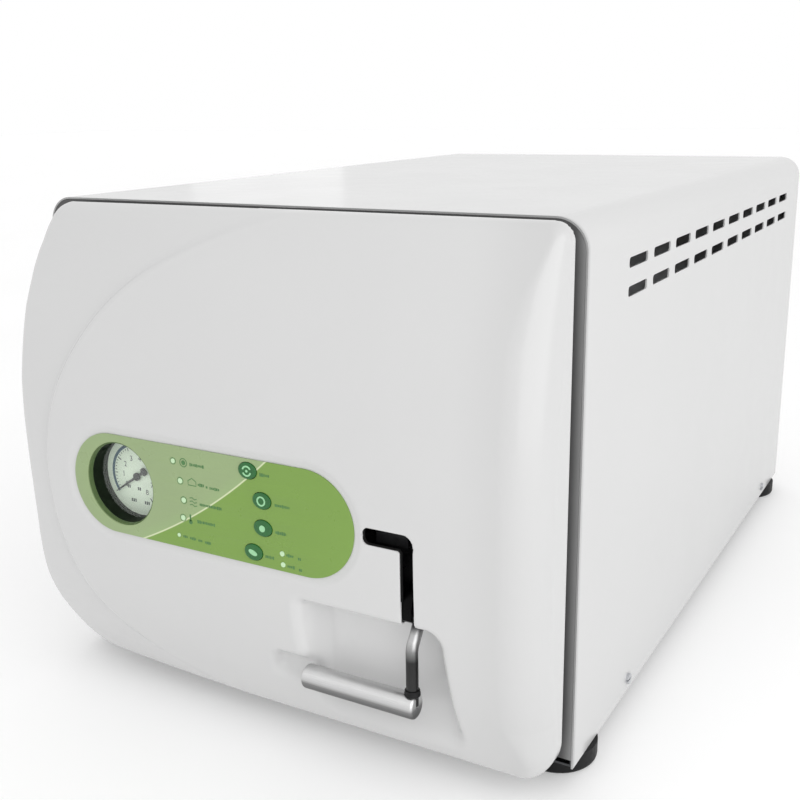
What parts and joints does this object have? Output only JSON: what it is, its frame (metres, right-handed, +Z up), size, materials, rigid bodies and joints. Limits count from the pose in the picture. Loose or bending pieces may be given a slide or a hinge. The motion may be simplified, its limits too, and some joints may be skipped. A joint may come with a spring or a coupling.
{
  "type": "horizontal autoclave",
  "caption": "Bench-top steam autoclave: white casing on rubber feet, side-hinged moulded door with control panel, gauge and swing-up latch lever, round chamber with trays.",
  "frame": {"origin": "middle of the footprint, on the bench under the feet", "axes": "+Z up, -Y out of the door, +X towards the latch side; the chamber axis runs along Y"},
  "size_m": [0.432, 0.7398, 0.369],
  "materials": {
    "white_enamel": "gloss white paint on sheet steel",
    "grey_enamel": "satin grey paint on sheet steel",
    "white_moulding": "gloss white moulding",
    "green_overlay": "printed overlay, pale to mid green",
    "green_keys": "dark green keys",
    "lens_white": "clear indicator lenses",
    "black_plastic": "black moulded plastic",
    "black_rubber": "black rubber",
    "silicone": "red silicone seal",
    "stainless": "brushed stainless steel",
    "zinc_steel": "zinc plated steel",
    "brass": "machined brass",
    "dial_white": "printed gauge dial",
    "pointer_black": "black pointer",
    "clear_glass": "flat gauge glass",
    "board_green": "circuit board",
    "jacket": "foil faced insulation",
    "heater": "mica band heater"
  },
  "bodies": {
    "casing": {"casing_shell": "white_enamel", "base_pan": "zinc_steel", "front_panel": "grey_enamel", "rear_panel": "white_enamel", "casing_screws": "zinc_steel", "rubber_feet": "black_rubber", "foot_screws": "zinc_steel", "chamber_flange": "stainless", "chamber_vessel": "stainless", "chamber_back": "stainless", "chamber_insulation": "jacket", "heater_band": "heater", "chamber_cradles": "zinc_steel", "tray_rack": "stainless", "hinge_bracket": "zinc_steel", "hinge_pin": "stainless", "panel_screws": "zinc_steel", "keeper": "zinc_steel", "mains_inlet": "black_plastic", "inlet_pins": "brass", "switch_body": "black_plastic", "fuse_holders": "black_plastic", "safety_valve_body": "brass", "steam_pipes": "stainless", "solenoid_valve": "brass", "exhaust_stub": "stainless", "power_board": "board_green", "temperature_sensor": "stainless"},
    "door": {"door_cover": "white_moulding", "control_overlay": "green_overlay", "indicator_lenses": "lens_white", "control_board": "board_green", "gauge_case": "black_plastic", "gauge_dial": "dial_white", "gauge_movement": "brass", "gauge_glass": "clear_glass", "gauge_stem": "brass", "door_liner": "black_plastic", "cross_arm": "zinc_steel", "pressure_lid": "stainless", "door_gasket": "silicone", "lid_bolt": "stainless", "latch_guide": "black_plastic", "hinge_washers": "brass"},
    "latch": {"latch_carriage": "black_plastic", "latch_bolt": "stainless", "lever_pivot_pin": "stainless"},
    "lever": {"lever_rod": "stainless", "lever_collar": "black_plastic", "lever_grip": "stainless"},
    "gauge_pointer": {"gauge_needle": "pointer_black"},
    "start_key": {"key_1": "green_keys"},
    "program_key": {"key_2": "green_keys"},
    "dry_key": {"key_3": "green_keys"},
    "temperature_key": {"key_4": "green_keys"},
    "rocker": {"power_rocker": "black_plastic"},
    "valve_pull": {"safety_valve_pull": "brass"},
    "lower_tray": {"tray_1": "stainless"},
    "middle_tray": {"tray_2": "stainless"},
    "upper_tray": {"tray_3": "stainless"}
  },
  "joints": [
    {"name": "door_hinge", "type": "hinge", "parent": "casing", "child": "door", "pos_m": [-0.206, -0.31462, 0.199], "axis": [0, 0, -1], "range_deg": [0, 110]},
    {"name": "latch_slide", "type": "slide", "parent": "door", "child": "latch", "axis": [-1, 0, 0], "range_m": [0, 0.025]},
    {"name": "lever_pivot", "type": "hinge", "parent": "latch", "child": "lever", "pos_m": [0.1255, -0.34713, 0.1765], "axis": [-1, 0, 0], "range_deg": [0, 88]},
    {"name": "gauge_pointer_pivot", "type": "hinge", "parent": "door", "child": "gauge_pointer", "pos_m": [-0.105, -0.35013, 0.177], "axis": [0, 1, 0], "range_deg": [0, 270], "stiffness_Nm_per_rad": 0.0005, "springref_deg": -17.19},
    {"name": "rocker_pivot", "type": "hinge", "parent": "casing", "child": "rocker", "pos_m": [0.096, 0.34087, 0.062], "axis": [1, 0, 0], "range_deg": [0, 14]},
    {"name": "valve_pull_slide", "type": "slide", "parent": "casing", "child": "valve_pull", "axis": [0, 1, 0], "range_m": [0, 0.004], "stiffness_N_per_m": 600},
    {"name": "start_key_press", "type": "slide", "parent": "door", "child": "start_key", "axis": [0, 1, 0], "range_m": [0, 0.0006], "stiffness_N_per_m": 1500},
    {"name": "program_key_press", "type": "slide", "parent": "door", "child": "program_key", "axis": [0, 1, 0], "range_m": [0, 0.0006], "stiffness_N_per_m": 1500},
    {"name": "dry_key_press", "type": "slide", "parent": "door", "child": "dry_key", "axis": [0, 1, 0], "range_m": [0, 0.0006], "stiffness_N_per_m": 1500},
    {"name": "temperature_key_press", "type": "slide", "parent": "door", "child": "temperature_key", "axis": [0, 1, 0], "range_m": [0, 0.0006], "stiffness_N_per_m": 1500},
    {"name": "lower_tray_slide", "type": "slide", "parent": "casing", "child": "lower_tray", "axis": [0, -1, 0], "range_m": [0, 0.028]},
    {"name": "middle_tray_slide", "type": "slide", "parent": "casing", "child": "middle_tray", "axis": [0, -1, 0], "range_m": [0, 0.028]},
    {"name": "upper_tray_slide", "type": "slide", "parent": "casing", "child": "upper_tray", "axis": [0, -1, 0], "range_m": [0, 0.028]}
  ]
}
